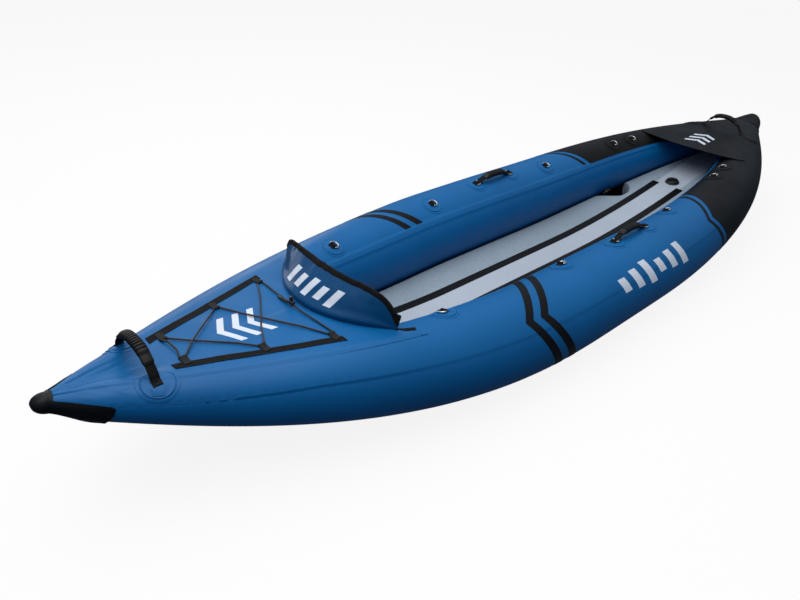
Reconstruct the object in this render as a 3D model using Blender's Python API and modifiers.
"""Inflatable kayak: two side tubes, drop-stitch floor, covered bow and stern, and all their fittings.

Metres. +X towards the bow, +Y to port, +Z up. The origin is on the ground, in the middle of the
kayak's length and width. A place on a side tube is given by its station x and by an angle round the
tube: 0 faces inboard, 90 is the crown, 180 faces outboard and -90 is the underside.
"""

import math
from collections import namedtuple

import bmesh
import bpy
from mathutils import Matrix, Vector

# ---- Hull lines ----
LENGTH = 3.80
BEAM = 1.00
TUBE_R = 0.148
WIDEST_X = 0.24

End = namedtuple("End", "centre_x tip_r plan_power plan_fullness taper_power lift flat lift_power")
BOW = End(1.870, 0.030, 2.25, 1.21, 2.25, 0.288, 0.15, 1.9)
STERN = End(-1.854, 0.046, 3.55, 1.42, 2.8, 0.247, 0.20, 1.8)

GAP = 0.0003
KEEL_GAP = 0.0002
PORT, STARBOARD = 1, -1
SIDES = {"port": PORT, "starboard": STARBOARD}
TUBE_SIDES = 20
TUBE_STATIONS = 32
TUBE_CUT_X = -0.47
TUBE_GAP = 0.0003
TUBE_END_ROOM = 0.002
STERN_TIP_RINGS = ((1.0, 0.08), (0.94, 0.34), (0.77, 0.64), (0.42, 0.91))
TUBE_BOW_X = 1.845

# ---- Floor, bottom and decks ----
FLOOR_TOP = 0.070
FLOOR_BOTTOM = 0.004
FLOOR_EDGE = 0.010
FLOOR_X = (-1.50, 1.36)
NOTCH_X, NOTCH_HALF, NOTCH_DEPTH = -0.805, 0.115, 0.075
SKIN_T = 0.002
SKIN_LIFT = 0.0015
BOTTOM_EDGE_Z = 0.0045
BOTTOM_ROOM, BOTTOM_LEAST = 0.003, 0.008
FLOOR_ROOM, FLOOR_LEAST = 0.004, 0.02
BOTTOM_X = (-1.69, 1.70)
DECK_FLAT = 0.8
BOW_DECK_X, BOW_DECK_SWEEP, BOW_DECK_FRONT = 1.150, 0.17, 1.800
STERN_DECK_X, STERN_DECK_SWEEP, STERN_DECK_BACK = -1.110, 0.042, -1.840
DECK_WRAP = 14.0
STERN_RIDGE = 0.014

# ---- Splash deflector ----
DEFLECTOR_HALF = 0.255
DEFLECTOR_BASE_X, DEFLECTOR_BASE_CURVE = 1.168, 2.0
DEFLECTOR_TOP_X, DEFLECTOR_TOP_CURVE = 1.092, 0.8
DEFLECTOR_H, DEFLECTOR_POWER = 0.081, 9.0
DEFLECTOR_FOOT, DEFLECTOR_BULGE = 0.006, 0.012
DEFLECTOR_T = 0.003

# ---- Nose cap ----
CAP_X = 1.8455
CAP_SKIN = 0.002
CAP_TONGUE_X = 1.735

# ---- Deck lacing ----
STRIP_W, STRIP_T = 0.025, 0.002
STRIP_FRONT = (1.594, 0.067)
STRIP_REAR = (1.180, 0.205)
LOOP_X = (1.560, 1.375, 1.198)
LOOP_W, LOOP_REACH = 0.024, 0.014
CORD_R = 0.0025
LOCK_R, LOCK_L = 0.0075, 0.022
BUTTON_R, BUTTON_L, BUTTON_TRAVEL = 0.0050, 0.008, 0.004
BUTTON_TOP_R, BUTTON_ROOM = 0.0045, 0.0005
LOCK_SHARE = 0.47
STRIP_LIFT, STRIP_EDGE, LOOP_SHOULDER = 0.0012, 0.001, 0.0015
CORD_LEAD, CORD_LIFT, CORD_HOP = 0.012, 0.0015, 0.0065
CORD_SHARES = (0.2, 0.35, 0.5, 0.65, 0.8)
TURN_FAR, TURN_NEAR, TURN_DROP = 0.009, 0.0035, 0.001

# ---- Rings and their patches ----
RING_X = (0.870, 0.335, -0.388, -0.888, -1.018)
RING_ANGLE = 70.0
PATCH_R, PATCH_T, PATCH_LIFT = 0.046, 0.0015, 0.0022
WIRE_R = 0.0022
RING_HALF, RING_REACH = 0.0155, 0.020
RING_CORNER, RING_SHOULDER, RING_START, RING_STEPS = 0.86, 0.18, 0.06, 8
RING_LIFT = 0.0034
LOOP_HALF = 0.0115
LOOP_IN, LOOP_OUT = 0.0030, 0.0046
LOOP_FOOT_REACH, LOOP_FOOT_T, LOOP_SINK = 0.006, 0.0014, 0.0008
LOOP_STEPS = 6

# ---- Handles ----
SIDE_HANDLE_X = (0.052, -0.162)
SIDE_HANDLE_ANGLE = 80.0
STRAP_W, STRAP_T = 0.024, 0.0024
SIDE_ARCH = 0.016
ARCH_POWER = 2.6
GRIP_ROOM_W, GRIP_ROOM_T = 0.0042, 0.0062
SIDE_GRIP_HALF = 0.052
GRIP_W, GRIP_H = 0.032, 0.022
STRAP_LIFT = 0.0042
END_HANDLES = {"bow": (1.652, 0.090), "stern": (-1.480, 0.090)}
END_HINGE_H = 0.0130
END_TOP = {"bow": 0.409, "stern": 0.414}
END_GRIP_HALF = 0.052

# ---- Valves ----
FLOOR_VALVE_X = -1.060
TUBE_VALVE_X, TUBE_VALVE_ANGLE = -0.805, -36.0
FLANGE_R, FLANGE_H = 0.0330, 0.004
BARREL_R, BARREL_DEPTH = 0.0230, 0.026
POCKET_R, POCKET_DEPTH, POCKET_OVER = 0.0240, 0.030, 0.010
BORE_R, BORE_FLOOR = 0.0170, 0.004
CAP_R, CAP_H = 0.0280, 0.008
PIN_R, PIN_TOP = 0.0055, 0.0010
PIN_STROKE = 0.005
FLANGE_BEVEL, CAP_BEVEL = 0.003, 0.002
VALVE_SIDES, VALVE_LIFT = 16, 0.0022

STERN_BLACK_X = -0.60

BLUE = ((0.022, 0.150, 0.400, 1.0), 0.38, 0.0)
BLACK = ((0.012, 0.012, 0.014, 1.0), 0.48, 0.0)
GREY = ((0.420, 0.440, 0.490, 1.0), 0.75, 0.0)
WEBBING = ((0.015, 0.015, 0.016, 1.0), 0.85, 0.0)
RUBBER = ((0.018, 0.018, 0.018, 1.0), 0.65, 0.0)
STEEL = ((0.620, 0.620, 0.600, 1.0), 0.22, 1.0)


# ---------------------------------------------------------------- scene helpers
def clear_scene():
    for obj in list(bpy.data.objects):
        bpy.data.objects.remove(obj, do_unlink=True)


def new_collection(name):
    collection = bpy.data.collections.new(name)
    bpy.context.scene.collection.children.link(collection)
    return collection


clear_scene()
KAYAK = new_collection("inflatable_kayak")
CUTTERS = new_collection("cutters")


def finish_material(obj, look):
    colour, roughness, metallic = look
    material = bpy.data.materials.new(obj.name)
    material.use_nodes = True
    shader = material.node_tree.nodes["Principled BSDF"]
    shader.inputs["Base Color"].default_value = colour
    shader.inputs["Roughness"].default_value = roughness
    shader.inputs["Metallic"].default_value = metallic
    obj.data.materials.append(material)


def add_object(name, data, look, collection=KAYAK):
    obj = bpy.data.objects.new(name, data)
    collection.objects.link(obj)
    if look:
        finish_material(obj, look)
    return obj


def mesh_object(name, bm, look, origin=None, collection=KAYAK):
    """A mesh object from bm, whose points are in world space, with its origin moved to origin."""
    bmesh.ops.recalc_face_normals(bm, faces=bm.faces)
    place = origin if origin is not None else Matrix.Identity(4)
    bm.transform(place.inverted())
    mesh = bpy.data.meshes.new(name)
    bm.to_mesh(mesh)
    bm.free()
    mesh.shade_smooth()
    mesh.set_sharp_from_angle(angle=math.radians(40))
    obj = add_object(name, mesh, look, collection)
    obj.matrix_world = place
    return obj


def loft(rings, closed_ends=True):
    """A bmesh skinned through rings of points, all with the same count."""
    bm = bmesh.new()
    rows = [[bm.verts.new(point) for point in ring] for ring in rings]
    count = len(rows[0])
    for low, high in zip(rows, rows[1:]):
        for i in range(count):
            j = (i + 1) % count
            bm.faces.new((low[i], low[j], high[j], high[i]))
    if closed_ends:
        bm.faces.new(reversed(rows[0]))
        bm.faces.new(rows[-1])
    return bm


def sleeve(outer, inner):
    """A bmesh of an open-ended sleeve between the outer and the inner rings."""
    bm = loft(list(outer) + list(reversed(inner)), closed_ends=False)
    bm.verts.ensure_lookup_table()
    count = len(outer[0])
    last = len(bm.verts) - count
    for i in range(count):
        j = (i + 1) % count
        bm.faces.new((bm.verts[j], bm.verts[i], bm.verts[last + i], bm.verts[last + j]))
    return bm


def sheet(name, rows, thickness, look, collection=KAYAK):
    """A skin of even thickness that grows upwards from a grid of points."""
    bm = bmesh.new()
    grid = [[bm.verts.new(point) for point in row] for row in rows]
    for near, far in zip(grid, grid[1:]):
        for i in range(len(near) - 1):
            bm.faces.new((near[i], near[i + 1], far[i + 1], far[i]))
    bmesh.ops.recalc_face_normals(bm, faces=bm.faces)
    if sum(face.normal.z for face in bm.faces) < 0:
        bmesh.ops.reverse_faces(bm, faces=bm.faces)
    mesh = bpy.data.meshes.new(name)
    bm.to_mesh(mesh)
    bm.free()
    mesh.shade_smooth()
    obj = add_object(name, mesh, look, collection)
    solid = obj.modifiers.new("Thickness", "SOLIDIFY")
    solid.thickness = thickness
    solid.offset = 1.0
    return obj


def rod(name, points, radius, look, cyclic=False, resolution=2):
    """A round rod or cord along points, as a curve with a bevel and filled caps."""
    curve = bpy.data.curves.new(name, "CURVE")
    curve.dimensions = "3D"
    curve.bevel_depth = radius
    curve.bevel_resolution = resolution
    curve.use_fill_caps = True
    spline = curve.splines.new("POLY")
    spline.points.add(len(points) - 1)
    for target, point in zip(spline.points, points):
        target.co = (*point, 1.0)
    spline.use_cyclic_u = cyclic
    return add_object(name, curve, look)


def turned(profile, segments):
    """A bmesh of a solid of revolution about Z. The profile starts and ends on the axis."""
    bm = bmesh.new()
    rows = []
    for radius, height in profile:
        if radius == 0:
            rows.append([bm.verts.new((0, 0, height))])
            continue
        angles = [math.tau * i / segments for i in range(segments)]
        rows.append([bm.verts.new((radius * math.cos(a), radius * math.sin(a), height)) for a in angles])
    for low, high in zip(rows, rows[1:]):
        for i in range(segments):
            j = (i + 1) % segments
            corners = [low[i % len(low)], low[j % len(low)], high[j % len(high)], high[i % len(high)]]
            bm.faces.new(list(dict.fromkeys(corners)))
    return bm


# ---------------------------------------------------------------- hull lines
def hull_lines(x):
    """A side tube's distance from the keel plane, its centre's height and its radius at station x."""
    end = BOW if x > WIDEST_X else STERN
    t = min((x - WIDEST_X) / (end.centre_x - WIDEST_X), 1.0)
    spread = (BEAM / 2 - TUBE_R) * (1 - t**end.plan_power) ** end.plan_fullness
    radius = TUBE_R - (TUBE_R - end.tip_r) * t**end.taper_power
    rise = end.lift * (max(t - end.flat, 0.0) / (1 - end.flat)) ** end.lift_power
    return spread, rise + radius, radius


def keel_height(x):
    spread, height, radius = hull_lines(x)
    return height - radius


def tube_axes(side, x):
    """The tube's centre at x, with its unit vectors inboard, up and forward."""
    step = 0.004
    ahead = min(x + step, BOW.centre_x)
    behind = max(x - step, STERN.centre_x)
    spread, height, radius = hull_lines(x)
    far, near = hull_lines(ahead), hull_lines(behind)
    forward = Vector((ahead - behind, side * (far[0] - near[0]), far[1] - near[1])).normalized()
    inboard = Vector((side * forward.y, -side * forward.x, 0)).normalized()
    up = inboard.cross(forward) * side
    return Vector((x, side * spread, height)), inboard, up, forward


def on_tube(side, x, angle, lift=0.0):
    """A point on or above a side tube. Past the keel plane the tube is pressed flat against its pair."""
    centre, inboard, up, forward = tube_axes(side, x)
    reach = hull_lines(x)[2] + lift
    a = math.radians(angle)
    point = centre + reach * (math.cos(a) * inboard + math.sin(a) * up)
    point.y = side * max(side * point.y, KEEL_GAP)
    return point


def at_station(side, x, angle, lift):
    """As on_tube, but exactly at station x, where on_tube's rings lean with the tube."""
    lean = on_tube(side, x, angle, lift).x - x
    return on_tube(side, x - lean, angle, lift)


def tube_frame(side, x, angle, lift=0.0):
    """A frame on the tube's skin: X forward along the tube, Z outward."""
    centre, inboard, up, forward = tube_axes(side, x)
    a = math.radians(angle)
    out = math.cos(a) * inboard + math.sin(a) * up
    origin = centre + (hull_lines(x)[2] + lift) * out
    return frame_of(origin, forward, out)


def frame_of(origin, along, out):
    side_axis = out.cross(along).normalized()
    along = side_axis.cross(out).normalized()
    frame = Matrix((along, side_axis, out.normalized())).transposed().to_4x4()
    frame.translation = origin
    return frame


def floor_frame(x, y, height):
    """A frame on the floor, which follows the rocker: X forward, Z square to the floor."""
    step = 0.02
    slope = (keel_height(x + step) - keel_height(x - step)) / (2 * step)
    out = Vector((-slope, 0, 1)).normalized()
    return frame_of(Vector((x, y, keel_height(x) + height)), Vector((1, 0, slope)), out)


def spread_stations(first, last, count):
    """Stations from first to last, closer together at both ends."""
    middle, half = (first + last) / 2, (last - first) / 2
    shares = [i / (count - 1) for i in range(count)]
    return [middle - half * (math.cos(math.pi * t) + 1 - 2 * t) / 2 for t in shares]


# ---------------------------------------------------------------- hull
def trim(bm, x, keep):
    """Cuts a solid square across at x, closes it, and keeps its +X side if keep is 1, or its -X side if it is -1."""
    everything = bm.verts[:] + bm.edges[:] + bm.faces[:]
    bmesh.ops.bisect_plane(
        bm, geom=everything, plane_co=(x, 0, 0), plane_no=(-keep, 0, 0), clear_outer=True
    )
    bmesh.ops.holes_fill(bm, edges=[edge for edge in bm.edges if edge.is_boundary])
    bmesh.ops.remove_doubles(bm, verts=bm.verts, dist=1e-6)


def side_tube(side_name, side):
    """A side tube as two lengths, end to end, so that collision follows its curve."""
    angles = [360.0 * i / TUBE_SIDES + 90 for i in range(TUBE_SIDES)]
    middle, height, tip_r = hull_lines(STERN.centre_x)
    rings = []
    for bend, shrink in STERN_TIP_RINGS:
        ring = []
        for angle in angles:
            a = math.radians(angle)
            out = max(middle - tip_r * shrink * math.cos(a), KEEL_GAP)
            rise = height + tip_r * shrink * math.sin(a)
            ring.append(Vector((STERN.centre_x - tip_r * bend, side * out, rise)))
        rings.append(ring)
    for x in spread_stations(STERN.centre_x, BOW.centre_x - TUBE_END_ROOM, TUBE_STATIONS):
        rings.append([on_tube(side, x, angle) for angle in angles])
    rear = loft(rings)
    front = rear.copy()
    trim(rear, TUBE_CUT_X - TUBE_GAP / 2, -1)
    trim(front, TUBE_CUT_X + TUBE_GAP / 2, 1)
    trim(front, TUBE_BOW_X, -1)
    mesh_object(f"tube_{side_name}_rear", rear, BLUE)
    mesh_object(f"tube_{side_name}_front", front, BLUE)


def wall_at(x, height):
    """Distance from the keel plane to a tube's inner wall, at a height above the keel line."""
    spread, centre, radius = hull_lines(x)
    below = radius - height
    return spread - math.sqrt(max(radius**2 - below**2, 0.0))


def floor_half_width(x):
    notch = 0.0
    if abs(x - NOTCH_X) < NOTCH_HALF:
        notch = NOTCH_DEPTH * math.cos(math.pi / 2 * (x - NOTCH_X) / NOTCH_HALF) ** 2
    return wall_at(x, FLOOR_TOP) - FLOOR_ROOM - notch


def floor_mat():
    steps = 26
    stations = [FLOOR_X[0] + (FLOOR_X[1] - FLOOR_X[0]) * i / steps for i in range(steps + 1)]
    stations = [x for x in stations if abs(x - NOTCH_X) > NOTCH_HALF + 0.01]
    stations += [NOTCH_X + NOTCH_HALF * i / 4 for i in range(-4, 5)]
    rings = []
    for x in sorted(stations):
        half, keel = max(floor_half_width(x), FLOOR_LEAST), keel_height(x)
        low, high = keel + FLOOR_BOTTOM, keel + FLOOR_TOP
        section = [
            (half - FLOOR_EDGE, low),
            (half, low + FLOOR_EDGE),
            (half, high - FLOOR_EDGE),
            (half - FLOOR_EDGE * 0.3, high - FLOOR_EDGE * 0.3),
            (half - FLOOR_EDGE, high),
        ]
        section += [(-y, z) for y, z in reversed(section)]
        rings.append([Vector((x, y, z)) for y, z in section])
    mesh_object("floor_mat", loft(rings), GREY)


def bottom_skin():
    """The bottom sheet, glued between the undersides of the tubes and level with them."""
    steps = 26
    rows = []
    for i in range(steps + 1):
        x = BOTTOM_X[0] + (BOTTOM_X[1] - BOTTOM_X[0]) * i / steps
        half = max(wall_at(x, BOTTOM_EDGE_Z) - BOTTOM_ROOM, BOTTOM_LEAST)
        rows.append([Vector((x, half * u, keel_height(x))) for u in (-1, -0.4, 0.4, 1)])
    sheet("bottom_skin", rows, SKIN_T, BLACK)


def deck_point(x, across, lift, ridge=0.0):
    """A point on a deck at station x; across runs from -1 to 1, past the crowns of both tubes."""
    side = PORT if across >= 0 else STARBOARD
    spread, height, radius = hull_lines(x)
    inner = min(abs(across) / DECK_FLAT, 1.0)
    if abs(across) > DECK_FLAT:
        angle = 90 + DECK_WRAP * (abs(across) - DECK_FLAT) / (1 - DECK_FLAT)
        return on_tube(side, x, angle, lift)
    crown = on_tube(side, x, 90, lift)
    return Vector((crown.x, crown.y * inner, crown.z + ridge * (1 - inner**2)))


def deck(name, edge_x, sweep, end_x, ridge, look):
    """A deck skin from its curved edge over the cockpit to the end where the tubes meet."""
    across = (-1, -0.9, -0.8, -0.6, -0.3, 0, 0.3, 0.6, 0.8, 0.9, 1)
    steps = 12
    rows = []
    for i in range(steps + 1):
        v = (i / steps) ** 0.9
        row = []
        for u in across:
            edge = edge_x - math.copysign(sweep, edge_x) * u * u
            x = edge + (end_x - edge) * v
            row.append(deck_point(x, u, SKIN_LIFT, ridge * v))
        rows.append(row)
    sheet(name, rows, SKIN_T, look)


def deck_surface(x, y, lift):
    """A point lift above a deck's top skin, at x and y."""
    spread, height, radius = hull_lines(x)
    outboard = max(abs(y) - spread, 0.0)
    return Vector((x, y, height + math.sqrt(radius**2 - outboard**2) + SKIN_LIFT + SKIN_T + lift))


def splash_deflector():
    """The spray visor that stands on the rear edge of the bow deck and leans over the cockpit."""
    steps, levels = 18, 4
    rows = []
    for j in range(levels + 1):
        v = j / levels
        row = []
        for i in range(steps + 1):
            u = math.sin(math.pi / 2 * (2 * i / steps - 1))
            y = DEFLECTOR_HALF * u
            base = deck_surface(DEFLECTOR_BASE_X - DEFLECTOR_BASE_CURVE * y * y, y, 0.0015)
            rise = DEFLECTOR_H * (1 - abs(u) ** DEFLECTOR_POWER) + DEFLECTOR_FOOT
            top_x = min(DEFLECTOR_TOP_X - DEFLECTOR_TOP_CURVE * y * y, base.x - 0.002)
            bulge = DEFLECTOR_BULGE * math.sin(math.pi * v) * (1 - u * u)
            row.append(base + Vector(((top_x - base.x) * v + bulge, 0, rise * v)))
        rows.append(row)
    sheet("splash_deflector", rows, DEFLECTOR_T, BLUE)


def nose_cap():
    """The moulded cap over both tube ends, with the tongue that runs back under the keel."""
    angles = [math.tau * i / TUBE_SIDES for i in range(TUBE_SIDES)]
    steps = 5
    rings = []
    for i in range(steps + 1):
        bend = math.pi / 2 * i / steps
        run = LENGTH / 2 - CAP_X
        x = CAP_X + run * math.sin(bend)
        spread, height, radius = hull_lines(min(x, BOW.centre_x))
        shrink = max(math.cos(bend), 0.06) ** 0.7
        wide, tall = (spread + radius + CAP_SKIN) * shrink, (radius + CAP_SKIN) * shrink
        rings.append([Vector((x, wide * math.cos(a), height + tall * math.sin(a))) for a in angles])
    union(mesh_object("nose_cap", loft(rings), RUBBER), keel_tongue())


def keel_tongue():
    """The rub strake that wraps the underside of the bow behind the nose cap, and its root in the cap."""
    angles = (160, 180, 200, 220, 240, 260, 270)
    steps = 5
    last = CAP_X + 0.001
    pitch = (last - CAP_TONGUE_X) / steps
    places = [(CAP_TONGUE_X + pitch * i, SKIN_LIFT + SKIN_T) for i in range(steps + 1)]
    places.append((CAP_X + 0.008, -0.005))
    rows = []
    for x, lift in places:
        port = [at_station(PORT, x, angle, lift) for angle in angles]
        starboard = [Vector((p.x, -p.y, p.z)) for p in reversed(port)]
        rows.append(port + starboard)
    return sheet("keel_tongue_join", rows, SKIN_T, None, collection=CUTTERS)


# ---------------------------------------------------------------- deck lacing
def strip_y(x):
    front_x, front_y = STRIP_FRONT
    rear_x, rear_y = STRIP_REAR
    return rear_y + (front_y - rear_y) * (x - rear_x) / (front_x - rear_x)


def deck_webbing(name, side):
    """A webbing strip on the bow deck, with three folded loops on its inboard edge."""
    stations = [STRIP_REAR[0] + (STRIP_FRONT[0] - STRIP_REAR[0]) * i / 10 for i in range(11)]
    for x in LOOP_X:
        stations = [s for s in stations if abs(s - x) > LOOP_W * 0.8]
        stations += [x + way * (LOOP_W / 2 + more) for way in (-1, 1) for more in (0, LOOP_SHOULDER)]
    rows = []
    for x in sorted(stations):
        reach = LOOP_REACH if any(abs(x - loop) <= LOOP_W / 2 + 1e-6 for loop in LOOP_X) else STRIP_EDGE
        middle = strip_y(x)
        ys = (middle - STRIP_W / 2 - reach, middle - STRIP_W / 2, middle, middle + STRIP_W / 2)
        rows.append([deck_surface(x, side * y, STRIP_LIFT) for y in ys])
    sheet(name, rows, STRIP_T, WEBBING)


def lacing_anchor(side, index):
    """Where the cord turns at a loop: just inboard of the loop's fold."""
    x = LOOP_X[index]
    y = strip_y(x) - STRIP_W / 2 - LOOP_REACH - CORD_R - 0.0008
    return deck_surface(x, side * y, CORD_R + STRIP_LIFT)


def lacing_lock_place():
    """The cord lock's middle and its direction, on the rear run of the lacing."""
    port, starboard = lacing_anchor(PORT, 2), lacing_anchor(STARBOARD, 2)
    middle = starboard.lerp(port, LOCK_SHARE) + Vector((0, 0, LOCK_R))
    return middle, (port - starboard).normalized()


def deck_bungee():
    """One elastic cord, laced from side to side between the loops and closed by the cord lock."""
    order = ((STARBOARD, 2), (PORT, 1), (STARBOARD, 0), (PORT, 0), (STARBOARD, 1), (PORT, 2))
    upper_runs = (2, 3)
    middle, run = lacing_lock_place()
    start = middle - run * (LOCK_L / 2 + GAP)
    end = middle + run * (LOCK_L / 2 + GAP)
    turns = [lacing_anchor(side, index) for side, index in order]
    points = [start, start - run * CORD_LEAD]
    for number, turn in enumerate(turns):
        before = turns[number - 1] if number else start
        after = turns[number + 1] if number + 1 < len(turns) else end
        outward = Vector((0, order[number][0], 0))
        arrive, leave = (before - turn).normalized(), (after - turn).normalized()
        points.append(turn + arrive * TURN_FAR - outward * TURN_DROP)
        points.append(turn + arrive * TURN_NEAR)
        points.append(turn + leave * TURN_NEAR)
        points.append(turn + leave * TURN_FAR - outward * TURN_DROP)
        if after is end:
            break
        hop = CORD_HOP if number in upper_runs else 0.0
        for share in CORD_SHARES:
            lift = CORD_LIFT + hop * math.sin(math.pi * share)
            points.append(turn.lerp(after, share) + Vector((0, 0, lift)))
    points += [end + run * CORD_LEAD, end]
    rod("deck_bungee", points, CORD_R, WEBBING)


def cord_lock():
    middle, run = lacing_lock_place()
    place = frame_of(middle, run, Vector((0, 0, 1)))
    turn = Matrix.Rotation(math.pi / 2, 4, "Y")
    bm = bmesh.new()
    bmesh.ops.create_cone(
        bm, cap_ends=True, segments=14, radius1=LOCK_R, radius2=LOCK_R, depth=LOCK_L, matrix=turn
    )
    bm.transform(place)
    mesh_object("cord_lock_body", bm, RUBBER)
    bm = bmesh.new()
    lift = Matrix.Translation((0, 0, LOCK_R + BUTTON_TRAVEL + BUTTON_ROOM + BUTTON_L / 2))
    bmesh.ops.create_cone(
        bm, cap_ends=True, segments=12, radius1=BUTTON_R, radius2=BUTTON_TOP_R, depth=BUTTON_L, matrix=lift
    )
    bm.transform(place)
    mesh_object("cord_lock_button", bm, RUBBER, origin=place)


# ---------------------------------------------------------------- rings, patches and loops
def curved_disc(side, x, angle, radius, lift, segments=12):
    """The rings of a patch bent round the tube, from its underside's middle out and back over its top."""
    tube_r = hull_lines(x)[2]

    def layer(share, height):
        ring = []
        for i in range(segments):
            a = math.tau * i / segments
            along, round_it = radius * share * math.cos(a), radius * share * math.sin(a)
            ring.append(on_tube(side, x + along, angle + math.degrees(round_it / tube_r), height))
        return ring

    shares = (0.35, 1.0)
    top = lift + PATCH_T
    return [layer(share, lift) for share in shares] + [layer(share, top) for share in reversed(shares)]


def union(obj, other):
    """Joins other to obj with a Boolean and keeps the result as a mesh."""
    join = obj.modifiers.new("Join", "BOOLEAN")
    join.operation = "UNION"
    join.object = other
    other.hide_render = True
    other.display_type = "WIRE"


def loop_band(place):
    """A webbing loop over a ring's bar, which lies along the frame's Y, with its two sewn feet."""
    low, top = -RING_LIFT - LOOP_SINK, -RING_LIFT + LOOP_FOOT_T
    toe = LOOP_OUT + LOOP_FOOT_REACH
    arc = [math.pi * i / LOOP_STEPS for i in range(LOOP_STEPS + 1)]
    shape = [(-toe, low), (-toe, top), (-LOOP_OUT, top)]
    shape += [(-LOOP_OUT * math.cos(a), LOOP_OUT * math.sin(a)) for a in arc]
    shape += [(LOOP_OUT, top), (toe, top), (toe, low), (LOOP_IN, low)]
    shape += [(LOOP_IN * math.cos(a), LOOP_IN * math.sin(a)) for a in arc]
    shape += [(-LOOP_IN, low)]
    rings = [[place @ Vector((x, y, z)) for x, z in shape] for y in (-LOOP_HALF, LOOP_HALF)]
    return loft(rings)


def ring_patch(name, side, x, angle):
    """A round welded patch with its webbing loop. Returns the frame on the ring's bar."""
    look = BLACK if x < STERN_BLACK_X else BLUE
    patch = mesh_object(name, loft(curved_disc(side, x, angle, PATCH_R, PATCH_LIFT)), look)
    place = tube_frame(side, x, angle, PATCH_LIFT + PATCH_T + RING_LIFT)
    union(patch, mesh_object(name + "_loop", loop_band(place), None, collection=CUTTERS))
    return place


def d_ring(name, place, reach):
    """A D ring whose straight bar lies on the frame's Y. It reaches along the frame's X."""
    half = RING_HALF
    path = [(0, -half * RING_CORNER), (0, half * RING_CORNER)]
    for i in range(RING_STEPS + 1):
        a = math.pi * (RING_START + (1 - 2 * RING_START) * i / RING_STEPS)
        path.append((reach * (RING_SHOULDER + (1 - RING_SHOULDER) * math.sin(a)), half * math.cos(a)))
    points = [Vector((x, y, 0)) for x, y in path]
    ring = rod(name, points, WIRE_R, STEEL, cyclic=True, resolution=1)
    ring.matrix_world = place
    return ring


def cargo_rings():
    """Five D rings along each tube. They lie aft of their loops, but for the foremost one to port."""
    for side_name, side in SIDES.items():
        for number, x in enumerate(RING_X, 1):
            place = ring_patch(f"ring_patch_{side_name}_{number}", side, x, RING_ANGLE)
            forward = side == PORT and number == 1
            d_ring(f"d_ring_{side_name}_{number}", place, RING_REACH if forward else -RING_REACH)


# ---------------------------------------------------------------- handles
def oval(place, wide, tall, count=10):
    """An oval section across the frame's X, wide along Y and tall along Z."""
    angles = [math.tau * i / count for i in range(count)]
    return [place @ Vector((0, wide / 2 * math.cos(a), tall / 2 * math.sin(a))) for a in angles]


def arch_frames(start, end, out, height, count, margin=0.0):
    """Frames along an arch from start to end that bulges towards out."""
    run = end - start
    frames = []
    for i in range(count):
        share = margin + (1 - 2 * margin) * i / (count - 1)
        away = 2 * share - 1
        bulge = height * (1 - abs(away) ** ARCH_POWER)
        slope = -2 * height * ARCH_POWER * math.copysign(abs(away) ** (ARCH_POWER - 1), away)
        tangent = (run + out * slope).normalized()
        origin = start + run * share + out * bulge
        normal = out - tangent * out.dot(tangent)
        frames.append(frame_of(origin, tangent, normal.normalized()))
    return frames


def strap_and_grip(prefix, start, end, out, height, grip_share, hinge):
    """A webbing strap on an arch, and the ribbed grip round its middle."""
    corners = ((-1, -1), (1, -1), (1, 1), (-1, 1))
    frames = arch_frames(start, end, out, height, 15)
    rings = [
        [f @ Vector((0, STRAP_W / 2 * a, STRAP_T / 2 * b)) for a, b in corners] for f in frames
    ]
    mesh_object(f"{prefix}_strap", loft(rings), WEBBING, origin=hinge)
    frames = arch_frames(start, end, out, height, 7, margin=(1 - grip_share) / 2)
    outer = [oval(f, GRIP_W, GRIP_H) for f in frames]
    inner = [oval(f, STRAP_W + GRIP_ROOM_W, STRAP_T + GRIP_ROOM_T) for f in frames]
    mesh_object(f"{prefix}_grip", sleeve(outer, inner), RUBBER, origin=hinge)


def side_handle(side_name, side):
    """A carry handle along the tube's crown, sewn to two rings that its two patches hold."""
    rings = []
    for label, x in zip(("front", "rear"), SIDE_HANDLE_X):
        rings.append(ring_patch(f"handle_patch_{side_name}_{label}", side, x, SIDE_HANDLE_ANGLE))
    front, rear = rings
    between = front.translation - rear.translation
    out = (front.col[2] + rear.col[2]).to_3d().normalized()
    hinge = frame_of(rear.translation + between / 2, between, out)
    d_ring(f"handle_ring_{side_name}_front", front, -RING_REACH)
    d_ring(f"handle_ring_{side_name}_rear", rear, RING_REACH)
    inset = between.normalized() * (RING_REACH - STRAP_W / 6) + out * STRAP_LIFT
    start = rear.translation + inset
    end = front.translation - inset + 2 * out * STRAP_LIFT
    share = 2 * SIDE_GRIP_HALF / (end - start).length
    strap_and_grip(f"side_handle_{side_name}", start, end, out, SIDE_ARCH, share, hinge)


def end_handle(end_name):
    """A carry handle across the bow or the stern, standing on its two sewn ends."""
    x, half = END_HANDLES[end_name]
    up = Vector((0, 0, 1))
    start, end = [deck_surface(x, side * half, END_HINGE_H) for side in (STARBOARD, PORT)]
    hinge = frame_of((start + end) / 2, end - start, up)
    share = 2 * END_GRIP_HALF / (end - start).length
    height = END_TOP[end_name] - GRIP_H / 2 - start.z
    strap_and_grip(f"{end_name}_handle", start, end, up, height, share, hinge)


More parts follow.
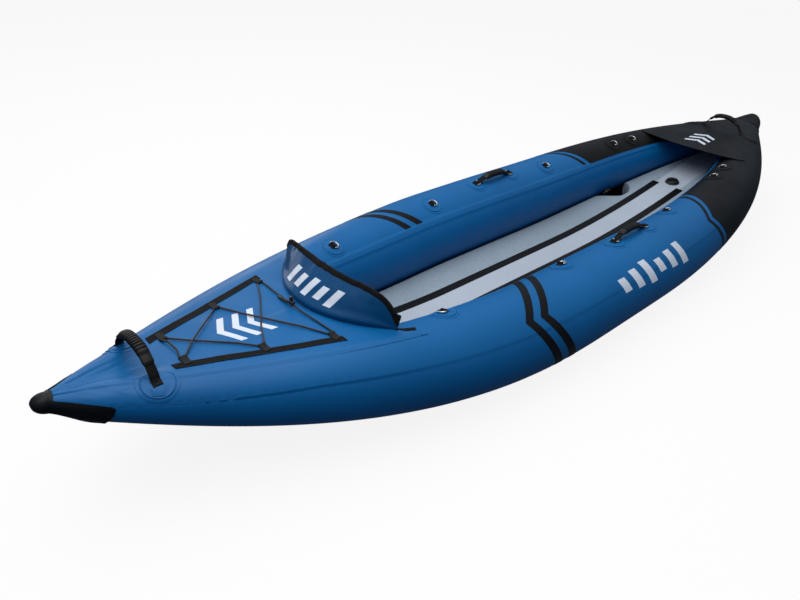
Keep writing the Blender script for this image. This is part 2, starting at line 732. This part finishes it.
# ---------------------------------------------------------------- valves
def valve(prefix, place):
    """A flanged inflation valve with its push pin and its turn cap."""
    deep = -BARREL_DEPTH
    pin_foot = deep + BORE_FLOOR + PIN_STROKE
    profile = (
        (0, deep),
        (BARREL_R, deep),
        (BARREL_R, 0),
        (FLANGE_R, 0),
        (FLANGE_R - FLANGE_BEVEL, FLANGE_H),
        (BORE_R + FLANGE_BEVEL, FLANGE_H),
        (BORE_R, FLANGE_H - CAP_BEVEL),
        (BORE_R, deep + BORE_FLOOR),
        (0, deep + BORE_FLOOR),
    )
    bm = turned(profile, VALVE_SIDES)
    bm.transform(place)
    mesh_object(f"{prefix}_valve_body", bm, RUBBER)
    bm = turned(
        (
            (0, FLANGE_H + GAP),
            (CAP_R, FLANGE_H + GAP),
            (CAP_R, FLANGE_H + CAP_H - CAP_BEVEL),
            (CAP_R - CAP_BEVEL, FLANGE_H + CAP_H),
            (0, FLANGE_H + CAP_H),
        ),
        VALVE_SIDES,
    )
    bm.transform(place)
    mesh_object(f"{prefix}_valve_cap", bm, RUBBER, origin=place)
    bm = turned(
        (
            (0, pin_foot),
            (PIN_R, pin_foot),
            (PIN_R, PIN_TOP),
            (0, PIN_TOP),
        ),
        10,
    )
    bm.transform(place)
    mesh_object(f"{prefix}_valve_pin", bm, RUBBER, origin=place)


def valve_pocket(node, place):
    """The socket in a wall for a valve's barrel."""
    bm = bmesh.new()
    shift = Matrix.Translation((0, 0, (POCKET_OVER - POCKET_DEPTH) / 2))
    depth = POCKET_DEPTH + POCKET_OVER
    bmesh.ops.create_cone(
        bm, cap_ends=True, segments=20, radius1=POCKET_R, radius2=POCKET_R, depth=depth, matrix=shift
    )
    bm.transform(place)
    pocket = mesh_object(f"{node}_pocket_cutter", bm, None, collection=CUTTERS)
    pocket.hide_render = True
    pocket.display_type = "WIRE"
    cut = bpy.data.objects[node].modifiers.new("Valve pocket", "BOOLEAN")
    cut.operation = "DIFFERENCE"
    cut.object = pocket


def build():
    for side_name, side in SIDES.items():
        side_tube(side_name, side)
        deck_webbing(f"deck_webbing_{side_name}", side)
        side_handle(side_name, side)
        place = tube_frame(side, TUBE_VALVE_X, TUBE_VALVE_ANGLE, VALVE_LIFT)
        valve_pocket(f"tube_{side_name}_rear", place)
        valve(f"tube_{side_name}", place)
    floor_mat()
    place = floor_frame(FLOOR_VALVE_X, 0, FLOOR_TOP + VALVE_LIFT)
    valve_pocket("floor_mat", place)
    valve("floor", place)
    bottom_skin()
    deck("bow_deck", BOW_DECK_X, BOW_DECK_SWEEP, BOW_DECK_FRONT, 0.0, BLUE)
    deck("stern_deck", STERN_DECK_X, -STERN_DECK_SWEEP, STERN_DECK_BACK, STERN_RIDGE, BLACK)
    splash_deflector()
    nose_cap()
    deck_bungee()
    cord_lock()
    cargo_rings()
    end_handle("bow")
    end_handle("stern")


build()
